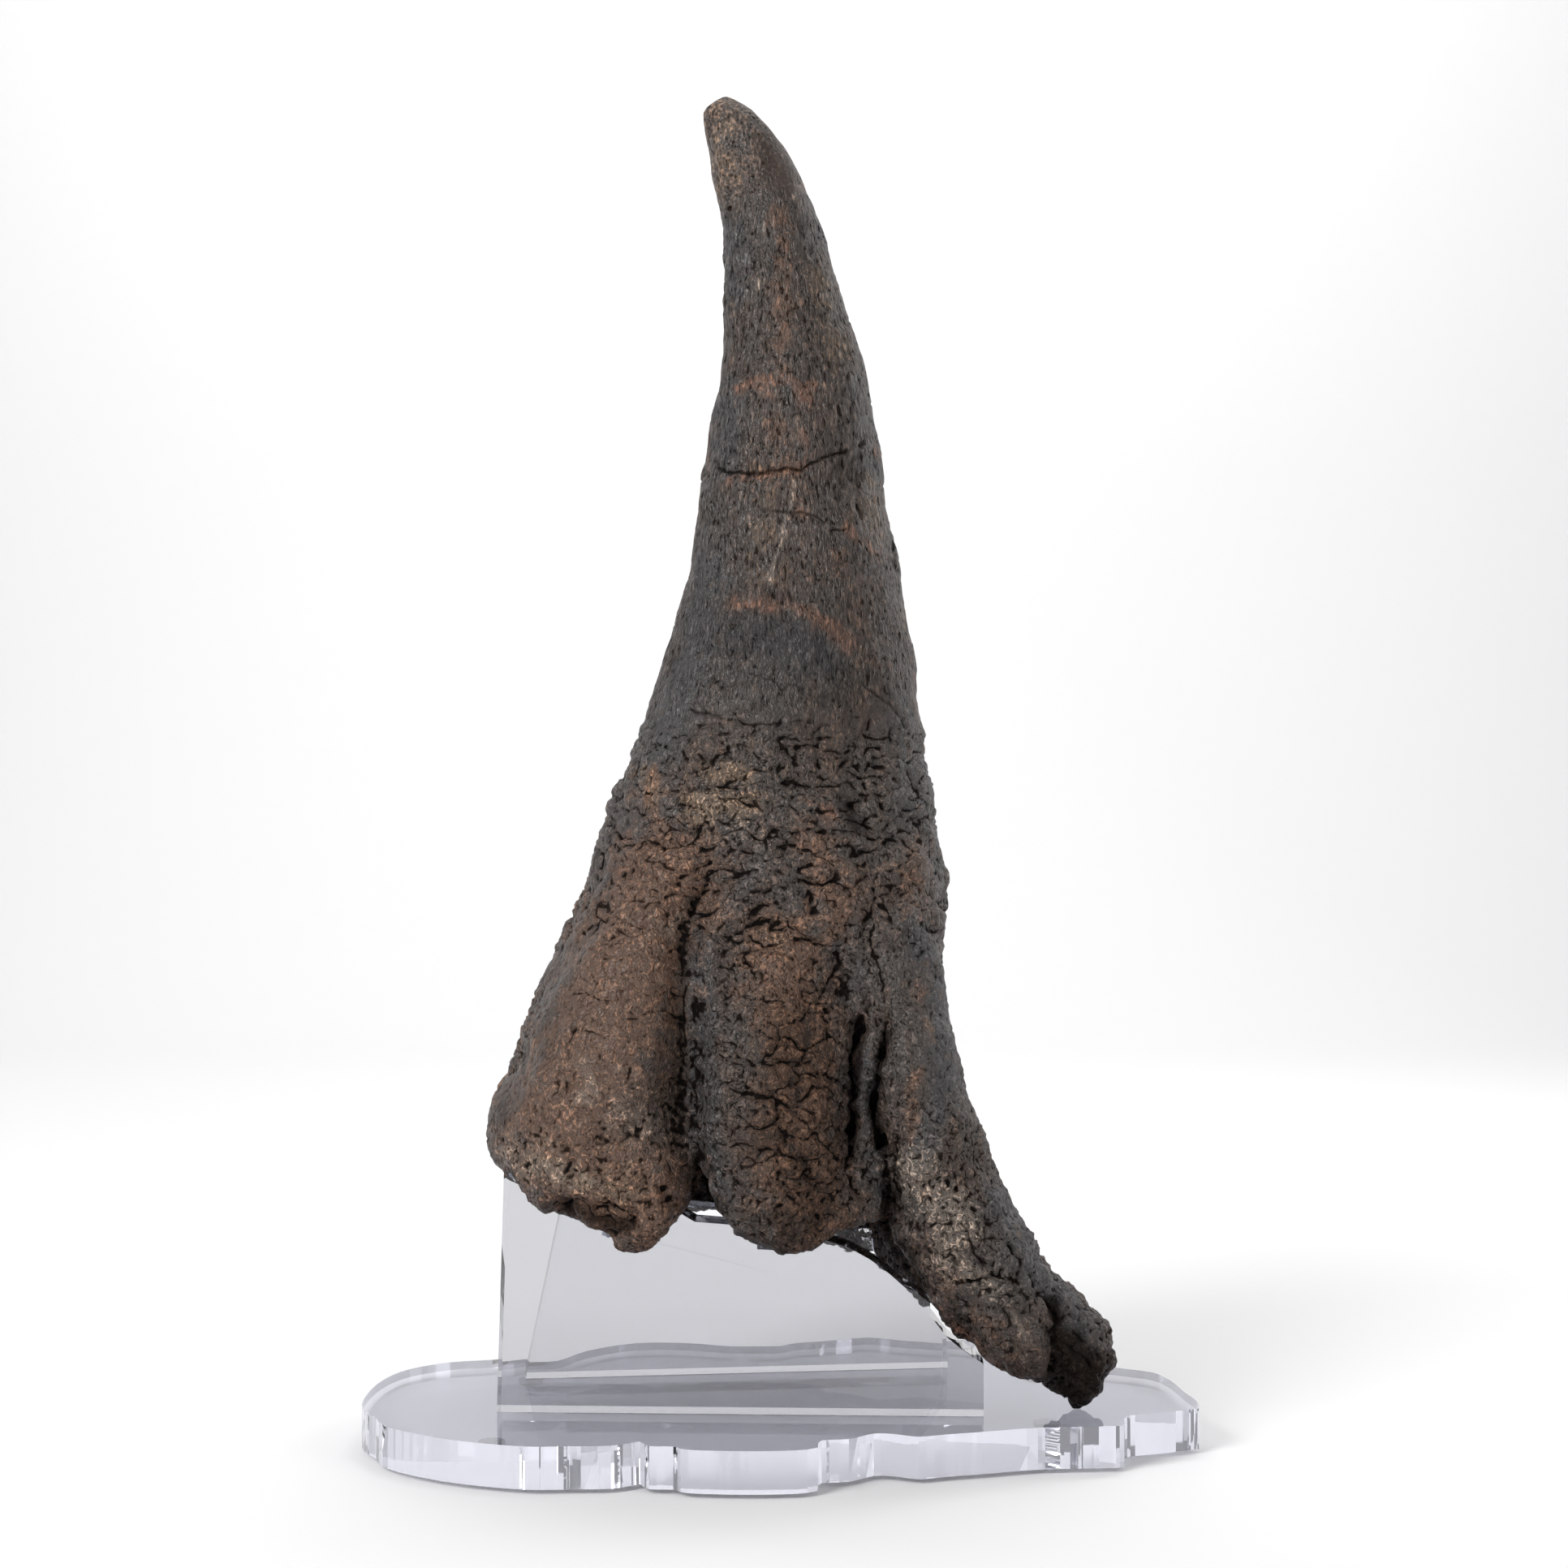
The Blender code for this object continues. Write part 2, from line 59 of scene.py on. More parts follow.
# What the front of the bone shows, placed by points of the picture: a line of points, then the half
# width in points and the depth in metres.
CRACKS = [
    ([(885, 579), (919, 584), (946, 582), (973, 578), (986, 579), (1000, 570), (1024, 563), (1042, 555)],
     3.0, 0.0020),
    ([(937, 631), (955, 629), (993, 633), (1006, 637), (1015, 646)], 2.2, 0.0014),
    ([(1024, 655), (1040, 653)], 2.6, 0.0018),
    ([(1099, 661), (1106, 706)], 3.0, 0.0026), ([(1058, 621), (1060, 637)], 3.0, 0.0020),
    ([(902, 763), (933, 759)], 2.0, 0.0010),
    ([(923, 828), (959, 841), (984, 847), (1010, 864), (1033, 884)], 2.0, 0.0012),
    ([(1050, 820), (1064, 843), (1086, 861), (1101, 874), (1112, 892), (1122, 910)], 2.2, 0.0014),
    ([(1089, 802), (1095, 859)], 2.0, 0.0010),
    ([(851, 875), (867, 880), (887, 884), (915, 890), (938, 893), (959, 890)], 3.0, 0.0018),
    ([(869, 889), (854, 910), (839, 950)], 2.6, 0.0015),
    ([(1010, 897), (1006, 930), (1011, 960)], 3.0, 0.0018),
    ([(839, 976), (865, 974), (892, 970), (918, 958)], 3.0, 0.0017),
    ([(969, 962), (1002, 971), (1030, 968)], 3.0, 0.0019),
    ([(1048, 994), (1060, 1006), (1068, 1022)], 5.0, 0.0036),
    ([(955, 1024), (977, 1025), (1000, 1024), (1027, 1028)], 3.0, 0.0020),
    ([(810, 1041), (820, 1046), (838, 1045)], 2.2, 0.0013),
    ([(992, 1088), (1001, 1089), (1017, 1089), (1033, 1089), (1043, 1094)], 4.0, 0.0028),
    ([(997, 1102), (1001, 1125)], 7.0, 0.0034),
    ([(1079, 1077), (1077, 1107), (1076, 1135), (1071, 1158), (1076, 1179), (1084, 1196), (1089, 1224),
      (1088, 1237)], 2.6, 0.0020),
    ([(1116, 1145), (1119, 1158)], 3.0, 0.0020),
    ([(894, 1158), (919, 1143), (945, 1133)], 4.5, 0.0030),
    ([(924, 1153), (940, 1166), (955, 1168)], 2.6, 0.0020),
    ([(979, 1158), (1005, 1163), (1031, 1175), (1033, 1184), (1025, 1201), (1017, 1217), (1006, 1240)],
     2.8, 0.0022),
    ([(838, 1082), (873, 1059)], 3.2, 0.0026), ([(821, 1107), (835, 1089)], 3.2, 0.0030),
    ([(872, 1087), (866, 1102), (854, 1115), (852, 1128)], 5.0, 0.0042),
    ([(848, 1143), (845, 1179), (843, 1204), (843, 1255), (847, 1306), (848, 1420), (850, 1480)],
     9.0, 0.0006),
    ([(843, 1215), (841, 1262), (846, 1300)], 2.2, 0.0012),
    ([(710, 1224), (725, 1224), (741, 1231), (756, 1233), (769, 1233), (768, 1245)], 2.0, 0.0013),
    ([(770, 1256), (797, 1249), (817, 1246), (831, 1254), (844, 1255)], 2.2, 0.0015),
    ([(723, 1270), (733, 1272), (746, 1277), (750, 1276)], 1.8, 0.0012),
    ([(702, 1283), (708, 1270)], 2.2, 0.0014), ([(773, 1329), (778, 1316)], 2.2, 0.0014),
    ([(685, 1383), (692, 1367)], 2.2, 0.0014), ([(643, 1289), (650, 1278)], 3.0, 0.0024),
    ([(1059, 1270), (1053, 1288), (1045, 1314), (1050, 1339), (1050, 1370), (1046, 1400)], 3.6, 0.0060),
    ([(1091, 1273), (1087, 1306), (1082, 1324), (1079, 1344), (1076, 1370), (1081, 1400), (1090, 1410)],
     3.4, 0.0050),
    ([(1107, 1401), (1104, 1449), (1107, 1484), (1092, 1508)], 4.5, 0.0045),
    ([(959, 1305), (974, 1286)], 3.0, 0.0024),
    ([(946, 1298), (966, 1307), (989, 1314), (1002, 1321), (1020, 1323), (1035, 1332)], 3.2, 0.0024),
    ([(900, 1342), (915, 1347), (938, 1353), (959, 1357), (979, 1370), (997, 1390), (1007, 1400)],
     3.5, 0.0028),
    ([(1002, 1324), (1002, 1339), (989, 1355)], 2.6, 0.0020),
    ([(941, 1362), (946, 1372), (959, 1380), (974, 1383)], 2.6, 0.0020),
    ([(900, 1300), (915, 1304), (928, 1316), (930, 1328), (915, 1347)], 2.6, 0.0018),
    ([(1206, 1532), (1214, 1554), (1224, 1564)], 2.8, 0.0022),
    ([(1241, 1532), (1257, 1551), (1256, 1580), (1268, 1602)], 3.0, 0.0024),
    ([(1193, 1578), (1222, 1574), (1254, 1583)], 3.0, 0.0018),
    ([(1288, 1591), (1303, 1613), (1300, 1634), (1295, 1663), (1292, 1682)], 6.0, 0.0050),
    ([(956, 281), (965, 314)], 2.4, 0.0010),
    ([(692, 1482), (735, 1494), (776, 1503)], 13.0, 0.0100),
    ([(1048, 1395), (1044, 1430), (1052, 1462)], 3.0, 0.0040),
    ([(1086, 1405), (1094, 1440), (1090, 1480), (1096, 1520)], 6.0, 0.0050),
    ([(1120, 1510), (1146, 1514), (1172, 1508)], 6.0, 0.0030),
    ([(1185, 1508), (1200, 1540), (1222, 1572)], 3.2, 0.0030),
    ([(1241, 1535), (1262, 1560), (1284, 1591)], 3.0, 0.0026),
    ([(1177, 1583), (1210, 1576), (1236, 1572), (1255, 1578)], 3.4, 0.0030),
    ([(1290, 1594), (1300, 1606), (1308, 1622)], 9.0, 0.0060),
    ([(1306, 1650), (1335, 1672), (1362, 1700)], 3.0, 0.0024),
    ([(1302, 1676), (1330, 1700), (1350, 1716)], 3.4, 0.0028),
    ([(1322, 1640), (1346, 1662), (1370, 1684)], 2.6, 0.0018),
]
# Ridges: the same, with the rise in metres.
RIDGES = [
    ([(980, 594), (973, 628), (962, 670), (948, 715)], 3.0, 0.0008),
    ([(954, 259), (961, 292), (976, 332)], 4.5, 0.0012),
    ([(947, 312), (932, 357)], 4.5, 0.0010),
    ([(943, 754), (923, 790), (895, 833), (874, 869)], 4.0, 0.0006),
    ([(965, 770), (945, 810), (925, 850)], 4.0, 0.0005),
    ([(1233, 1602), (1254, 1629), (1273, 1658), (1284, 1671)], 7.0, 0.0016),
    ([(1100, 1425), (1130, 1440), (1165, 1440)], 9.0, 0.0012),
    ([(885, 746), (943, 748), (979, 748), (1004, 759), (1025, 774), (1045, 795)], 6.0, 0.0005),
    ([(1122, 1445), (1150, 1470), (1178, 1502)], 20.0, 0.0026),
    ([(1160, 1538), (1195, 1562)], 15.0, 0.0028),
    ([(1232, 1540), (1244, 1562)], 9.0, 0.0020), ([(1236, 1591), (1262, 1630), (1286, 1668)], 11.0, 0.0026),
    ([(1066, 1300), (1063, 1350), (1066, 1400)], 5.0, 0.0016), ([(1042, 1352), (1060, 1357)], 6.0, 0.0034),
    ([(1078, 1318), (1094, 1322)], 6.0, 0.0030), ([(876, 1160), (882, 1300), (886, 1450)], 18.0, 0.0050),
    ([(640, 1450), (690, 1462), (740, 1474)], 9.0, 0.0022),
    ([(853, 1140), (848, 1250), (850, 1380), (853, 1465)], 10.0, 0.0040),
    ([(990, 1130), (1000, 1172), (960, 1180)], 18.0, 0.0020), ([(780, 1500), (800, 1510)], 10.0, 0.0024),
]
# Holes: a point of the picture, radius in points, depth in metres.
HOLES = [
    (899, 257, 5.0, 0.0026), (1062, 548, 5.0, 0.0034), (880, 567, 4.0, 0.0016), (870, 585, 5.0, 0.0018),
    (981, 920, 4.0, 0.0022), (803, 979, 5.0, 0.0024), (1099, 962, 5.0, 0.0024), (1086, 993, 5.0, 0.0024),
    (769, 1033, 4.0, 0.0022), (1082, 1179, 4.0, 0.0026), (1017, 1246, 5.0, 0.0030),
    (1022, 1412, 6.0, 0.0042), (1032, 1428, 5.0, 0.0042),
    (818, 1463, 5.5, 0.0045), (826, 1476, 4.5, 0.0036),
    (1178, 1466, 4.5, 0.0036), (1199, 1490, 5.0, 0.0034), (1236, 1570, 6.0, 0.0030),
    (1164, 1153, 5.0, 0.0020), (789, 1428, 3.0, 0.0016), (1098, 692, 4.0, 0.0020),
    (885, 258, 5.0, 0.0014), (1012, 1500, 5.0, 0.0026), (960, 1490, 6.0, 0.0020),
]

# Tones of the bone
UMBER = (0.046, 0.030, 0.023, 1)
GREY_UMBER = (0.048, 0.040, 0.036, 1)
STREAK = (0.088, 0.053, 0.034, 1)
# Painted shade laid in the hollows, cracks and pores
PAINTED_SHADE = (0.008, 0.0062, 0.0055, 1)
# Painted highlight on the high grain: how many times brighter it is than the bone around it
HIGHLIGHT_GAIN = (4.2, 4.0, 3.8, 1)
# Stains in the order they are laid, the dark one partly painted shade and the pale one partly painted
# highlight: name, tone, and the most that it covers.
TONES = [
    ("slate", (0.044, 0.041, 0.041, 1), 0.90), ("brown", (0.105, 0.055, 0.033, 1), 0.90),
    ("tan", (0.140, 0.091, 0.056, 1), 0.70), ("pale", (0.20, 0.16, 0.13, 1), 0.60),
    ("rust", (0.155, 0.076, 0.047, 1), 0.80), ("dark", (0.011, 0.009, 0.008, 1), 0.80),
]

# Where the skin is cracked like leather: line, reach in points, strength.
LEATHERY = [
    ([(990, 1275), (950, 1330), (960, 1400), (990, 1440)], 48, 1.0),
    ([(1010, 1330), (1020, 1420)], 30, 0.8),
    ([(900, 1290), (905, 1440)], 26, 0.5), ([(1235, 1570), (1260, 1600)], 26, 0.7),
]
# The ragged sides of the two clefts, placed the same way
CLEFT_SIDES = [([(1052, 1275), (1048, 1405)], 16, 1.0), ([(1086, 1270), (1084, 1410)], 16, 1.0)]

# Colour and finish of the front, painted shade and painted highlight among them, placed the same way: line,
# reach in points, strength.
STAINS_AND_PAINTED_LIGHT = {
    "rust": [
        ([(908, 480), (928, 469), (953, 469), (975, 471), (991, 482), (1002, 474)], 8, 0.85),
        ([(986, 482), (996, 490)], 12, 1.0), ([(991, 532), (994, 572)], 4, 0.7),
        ([(900, 590), (915, 588), (955, 583), (995, 574)], 5, 0.7), ([(1075, 547), (1082, 563)], 6, 0.6),
        ([(1042, 651), (1055, 663), (1067, 668), (1078, 677), (1085, 690)], 6, 0.7),
        ([(905, 745), (943, 748), (979, 748), (1004, 759), (1025, 774), (1045, 795)], 12, 0.75),
        ([(1060, 812), (1095, 818)], 8, 0.4), ([(1010, 985), (1028, 1015)], 12, 0.5),
        ([(800, 955), (795, 990)], 9, 0.5), ([(875, 500), (872, 590)], 3, 0.5),
        ([(758, 1440), (765, 1462)], 7, 0.5), ([(1150, 1610), (1190, 1650), (1225, 1680)], 14, 0.55),
        ([(1284, 1665), (1288, 1672)], 6, 0.4), ([(690, 1480), (780, 1505)], 20, 0.35),
    ],
    "tan": [
        ([(886, 125), (893, 180), (903, 240)], 26, 0.45), ([(870, 955), (915, 955)], 16, 0.8),
        ([(855, 995), (915, 990)], 24, 0.8), ([(1010, 330), (1035, 450)], 22, 0.5),
        ([(1075, 600), (1085, 660)], 20, 0.6), ([(1120, 760), (1130, 900)], 25, 0.2),
        ([(945, 1150), (958, 1156)], 12, 0.5), ([(660, 1430), (700, 1450), (770, 1470)], 28, 0.6),
        ([(795, 950), (800, 985)], 14, 0.7), ([(930, 560), (940, 700)], 26, 0.35),
    ],
    "brown": [
        ([(820, 1080), (770, 1200), (720, 1330), (690, 1420), (780, 1470)], 80, 1.0),
        ([(960, 1170), (985, 1300), (980, 1420), (1000, 1500)], 60, 0.9),
        ([(960, 260), (965, 380), (955, 520), (985, 640)], 18, 0.55),
        ([(1010, 1050), (1030, 1120)], 45, 0.7), ([(800, 960), (790, 1000)], 30, 0.6),
        ([(1125, 1050), (1130, 1120)], 26, 0.55), ([(1130, 1200), (1140, 1270)], 22, 0.35),
        ([(1035, 690), (1060, 760)], 25, 0.4), ([(960, 680), (950, 730)], 25, 0.3),
        ([(1150, 1560), (1250, 1660)], 30, 0.4), ([(1128, 1325), (1120, 1400)], 16, 0.5),
    ],
    "slate": [
        ([(905, 280), (908, 360)], 22, 0.8), ([(899, 480), (896, 575)], 22, 0.9),
        ([(925, 780), (1010, 800)], 42, 0.8), ([(880, 700), (850, 820), (800, 960), (745, 1080)], 34, 0.8),
        ([(862, 1120), (862, 1180), (866, 1300), (868, 1400), (885, 1470)], 22, 1.0),
        ([(1110, 860), (1120, 1000)], 24, 0.5),
        ([(1120, 1130), (1150, 1200), (1165, 1340), (1130, 1420)], 26, 0.8),
        ([(1230, 1480), (1290, 1580), (1340, 1640)], 26, 0.9), ([(780, 1425), (840, 1450)], 22, 0.7),
        ([(1068, 1300), (1072, 1400), (1085, 1470)], 16, 0.7), ([(1095, 540), (1110, 580)], 18, 0.6),
        ([(1060, 560), (1090, 590)], 18, 0.5), ([(940, 1050), (900, 1120)], 22, 0.6),
        ([(1050, 1200), (1040, 1240)], 24, 0.6), ([(1215, 1600), (1265, 1650)], 14, 0.5),
    ],
    # Pale: partly pale bone, partly painted highlight on the lit strut patch, the ridges and the left lobe
    "pale": [
        ([(1125, 1440), (1180, 1500), (1165, 1545)], 34, 0.8), ([(1185, 1560), (1225, 1590)], 22, 0.6),
        ([(980, 594), (973, 628), (962, 670), (948, 715)], 3.0, 1.0),
        ([(947, 312), (932, 357)], 4, 0.7), ([(730, 1340), (800, 1390)], 45, 0.4),
        ([(640, 1420), (700, 1450)], 30, 0.5), ([(985, 230), (980, 245)], 8, 0.6),
        ([(840, 1120), (800, 1180)], 25, 0.3), ([(1230, 1600), (1270, 1655)], 8, 0.5),
        ([(880, 990), (930, 1040)], 30, 0.35),
    ],
    "smooth": [
        ([(960, 180), (965, 225)], 27, 1.0), ([(925, 780), (1010, 800)], 50, 0.25),
        ([(880, 700), (830, 880), (745, 1090)], 26, 0.6), ([(700, 1180), (660, 1300)], 40, 0.7),
        ([(740, 1130), (690, 1240), (630, 1370)], 34, 0.6),
        ([(800, 1120), (750, 1280), (700, 1390)], 75, 0.5),
        ([(690, 1400), (790, 1410)], 30, 0.3), ([(1100, 900), (1140, 1100)], 40, 0.35),
        ([(1140, 1180), (1165, 1340)], 30, 0.5), ([(1230, 1480), (1290, 1580), (1340, 1640)], 26, 0.5),
        ([(840, 1170), (838, 1260)], 10, 0.7), ([(780, 1415), (840, 1450)], 26, 0.6),
        ([(1255, 1620), (1285, 1670)], 16, 0.6), ([(1100, 560), (1125, 640)], 14, 0.5),
    ],
    # Dark: partly dark bone, partly painted shade in the clefts, the recess under the left lobe and the
    # groove bottoms
    "dark": [
        ([(1312, 1655), (1345, 1690), (1320, 1725)], 30, 1.0), ([(1300, 1600), (1305, 1650)], 9, 0.9),
        ([(1058, 1285), (1050, 1340), (1050, 1400)], 7, 0.9),
        ([(1090, 1275), (1078, 1350), (1082, 1410)], 7, 0.9),
        ([(1098, 1470), (1095, 1515), (1120, 1550), (1140, 1580)], 11, 0.7),
        ([(985, 1430), (1010, 1500), (960, 1520)], 34, 0.5), ([(975, 1280), (960, 1400)], 52, 0.5),
        ([(1230, 1600), (1280, 1690)], 30, 0.3), ([(1005, 1320), (1030, 1400)], 26, 0.4),
        ([(700, 1490), (735, 1500), (770, 1510)], 13, 0.8), ([(860, 1480), (885, 1490)], 16, 0.6),
        ([(915, 780), (1000, 785), (1020, 850)], 55, 0.35), ([(1040, 985), (1052, 1020)], 10, 0.6),
        ([(1160, 1600), (1200, 1640), (1240, 1685)], 12, 0.4), ([(855, 1110), (850, 1170)], 12, 0.5),
        ([(945, 170), (948, 225)], 10, 0.25),
    ],
}

# Clear plastic: tints of the three plates, each darkened by its own amount as painted shade, and of the
# feet, how far light bends in them, and their polish
PLATE_TINTS_AND_SHADE = {
    "base_plate": (0.78, 0.785, 0.865, 1),
    "front_plate": (0.61, 0.612, 0.635, 1),
    "back_plate": (0.95, 0.95, 0.965, 1),
}
FOOT_TINT = (0.92, 0.92, 0.93, 1)
ACRYLIC_IOR, ACRYLIC_ROUGHNESS = 1.49, 0.01
BUMPER_IOR, BUMPER_ROUGHNESS = 1.45, 0.16
SAWN_EDGE, FOOT_EDGE = 0.0007, 0.0006

# Lamps: name, place, the point that it shines at, its two sides in metres, and its power in watts.
MIDDLE = (0.0, 0.0, 0.40)
LAMPS = [
    ("key", (-1.7, -1.7, 1.6), MIDDLE, (1.3, 1.3), 56.0),
    ("fill", (1.9, -1.5, 1.0), MIDDLE, (0.8, 1.4), 11.0),
    ("top", (0.0, 0.2, 2.4), MIDDLE, (1.6, 1.6), 7.0),
    ("rim", (1.5, 0.9, 1.3), MIDDLE, (0.7, 1.4), 9.0),
    ("wall", (0.0, 1.2, 3.2), (0.0, 3.2, 1.5), (3.0, 0.8), 51.0),
]
SURROUNDING_LIGHT = 0.32
MOST_BOUNCES, MOST_MIRRORED = 28, 20


# Repeatable noise in numpy
def scrambled(cells, seed):
    """A repeatable 32-bit number for each whole-numbered cell."""
    c = cells.astype(np.int64)
    mixed = (c[:, 0] * 73856093) ^ (c[:, 1] * 19349663) ^ (c[:, 2] * 83492791) ^ (seed * 2654435761)
    mixed &= 0xFFFFFFFF
    mixed ^= mixed >> 16
    mixed = (mixed * 0x7FEB352D) & 0xFFFFFFFF
    mixed ^= mixed >> 15
    mixed = (mixed * 0x846CA68B) & 0xFFFFFFFF
    return mixed ^ (mixed >> 16)


def three_shares(mixed):
    """Three numbers from 0 to 1 out of each scrambled number."""
    return np.stack([mixed & 1023, (mixed >> 10) & 1023, (mixed >> 20) & 1023], axis=1) / 1023.0


def waves(points, size, seed):
    """Smooth noise from about -1 to 1, with features of about that size."""
    q = points / np.asarray(size, float)
    cell = np.floor(q)
    f = q - cell
    fade = f * f * f * (f * (f * 6.0 - 15.0) + 10.0)
    total = np.zeros(len(points))
    for corner in itertools.product((0, 1), repeat=3):
        slope = three_shares(scrambled(cell + corner, seed)) * 2.0 - 1.0
        share = np.prod(np.where(np.array(corner) == 1, fade, 1.0 - fade), axis=1)
        total += share * ((f - corner) * slope).sum(axis=1)
    return np.clip(total * 1.7, -1.0, 1.0)


def scattered(points, size, seed):
    """Distance to the nearest of scattered seeds, the gap to the second, and the nearest one's number."""
    q = points / np.asarray(size, float)
    cell = np.floor(q)
    first, second = np.full(len(q), 9.0), np.full(len(q), 9.0)
    number = np.zeros(len(q))
    for offset in itertools.product((-1, 0, 1), repeat=3):
        at = cell + offset
        mixed = scrambled(at, seed)
        away = np.linalg.norm(at + three_shares(mixed) - q, axis=1)
        nearer = away < first
        second = np.where(nearer, first, np.minimum(second, away))
        number = np.where(nearer, (mixed & 255) / 255.0, number)
        first = np.where(nearer, away, first)
    return first, second - first, number


def eased(value, low, high):
    """0 below low, 1 above high, and a smooth step between them."""
    t = np.clip((value - low) / (high - low), 0.0, 1.0)
    return t * t * (3.0 - 2.0 * t)


# Places on the bone
def straightened(points):
    """The points with the horn's own bend taken out, so that a grain can follow it."""
    heights, side, deep = np.array(HORN_AXIS).T
    z = points[:, 2]
    return np.stack(
        [points[:, 0] - np.interp(z, heights, side), points[:, 1] - np.interp(z, heights, deep), z], axis=1)


def picture_points(points):
    """Where each point shows in the picture, and its distance from the eye."""
    deep = points[:, 1] - EYE[1]
    across = PICTURE / 2 + FOCAL * (points[:, 0] - EYE[0]) / deep
    down = PICTURE / 2 - FOCAL * (points[:, 2] - EYE[2]) / deep
    return across, down, deep


def seen_share(points, normals):
    """1 where the front view sees the bone, 0 where it faces away or nearer bone hides it."""
    across, down, deep = picture_points(points)
    step = 8.0
    column, row = (across / step).astype(int), (down / step).astype(int)
    nearest = np.full((260, 260), 9.0)
    np.minimum.at(nearest, (row, column), deep)
    ray = points - np.array(EYE)
    ray /= np.linalg.norm(ray, axis=1)[:, None]
    facing = -(ray * normals).sum(axis=1)
    return eased(facing, 0.02, 0.25) * (deep < nearest[row, column] + 0.022)


def from_line(across, down, line, reach):
    """Distance of each point from the line, in points of the picture, or a large one beyond reach."""
    ends = np.array(line, float)
    low, high = ends.min(axis=0) - reach, ends.max(axis=0) + reach
    away = np.full(len(across), 1e3)
    near = np.nonzero((across > low[0]) & (across < high[0]) & (down > low[1]) & (down < high[1]))[0]
    here = np.stack([across[near], down[near]], axis=1)
    best = np.full(len(near), 1e3)
    for a, b in zip(ends[:-1], ends[1:]):
        along = np.clip(((here - a) @ (b - a)) / max((b - a) @ (b - a), 1e-9), 0.0, 1.0)
        best = np.minimum(best, np.linalg.norm(here - a - along[:, None] * (b - a), axis=1))
    away[near] = best
    return away


def wandering(points, across, down):
    """The picture points shifted a little by noise, so that no drawn line stays straight."""
    shift = 3.0 * waves(points, 0.009, 21) + 1.6 * waves(points, 0.0035, 22)
    drop = 3.0 * waves(points, 0.009, 23) + 1.6 * waves(points, 0.0035, 24)
    return across + shift, down + drop


# The shape of the bone
def zones(points):
    """How much each place belongs to the horn's tip, its grained shaft and the rugose band below."""
    z = points[:, 2] + 0.010 * waves(points, 0.045, 31) + 0.004 * waves(points, 0.014, 32)
    tip = eased(z, 0.776, 0.784)
    shaft = eased(z, 0.430, 0.470) * (1.0 - tip)
    rugose = eased(z, 0.285, 0.320) * (1.0 - eased(z, 0.440, 0.462))
    return tip, shaft, rugose


def warped(points, size, amount, seed):
    """The points shifted by smooth noise, so that no pattern on them stays regular."""
    return points + amount * np.stack([waves(points, size, seed + k) for k in range(3)], axis=1)


def billows(points, size, seed):
    """Rounded lumps with sharp creases between them, from 0 in the creases to about 1."""
    return np.sqrt(np.abs(waves(points, size, seed)))


def leather(points, size, seed):
    """Irregular polygons with rounded edges: 0 in the cracks between them and 1 on top."""
    bent = warped(warped(points, 0.016, 0.0050, seed), 0.006, 0.0016, seed + 3)
    _, gap, _ = scattered(bent, size, seed)
    width = 0.15 + 0.10 * waves(points, 0.014, seed + 7)
    return 1.0 - np.exp(-(gap / width) ** 2)


def shaft_relief(grain):
    """Lengthwise grain."""
    bent = warped(grain, 0.010, 0.0012, 30)
    return (0.00035 * waves(bent, (0.0090, 0.0090, 0.070), 3)
            + 0.00080 * billows(bent, (0.0046, 0.0046, 0.017), 4)
            + 0.00050 * waves(bent, (0.0028, 0.0028, 0.0080), 5))


def low_relief(points):
    """Worm-like wrinkles."""
    bent = warped(points, 0.006, 0.0022, 40)
    return (0.00125 * billows(bent, (0.0060, 0.0060, 0.0075), 6)
            + 0.00075 * billows(bent, 0.0034, 7) + 0.00085 * waves(points, 0.011, 8))


def rugose_relief(points):
    """Broken lumps and folds that run mostly across the horn."""
    bent = warped(points, 0.013, 0.0055, 90)
    broken = leather(points, (0.034, 0.034, 0.016), 50)
    open_here = eased(waves(points, 0.026, 55), -0.30, 0.25)
    return (0.0030 * billows(bent, (0.024, 0.024, 0.0115), 91)
            + 0.0016 * billows(bent, (0.010, 0.010, 0.0062), 92)
            - 0.0022 * open_here * (1.0 - broken))


def marked_front(points, across, down, seen):
    """Cracks, ridges and holes that the front shows, as a height."""
    height = np.zeros(len(points))
    for line, width, depth in CRACKS:
        away = from_line(across, down, line, width * 4)
        height -= depth * np.exp(-(away / width) ** 2)
    for line, width, rise in RIDGES:
        away = from_line(across, down, line, width * 4)
        height += rise * np.exp(-(away / width) ** 2)
    for x, y, radius, depth in HOLES:
        away = np.hypot(across - x, down - y)
        height -= depth * np.exp(-(away / radius) ** 4)
    return height * seen * (0.75 + 0.45 * waves(points, 0.010, 56))


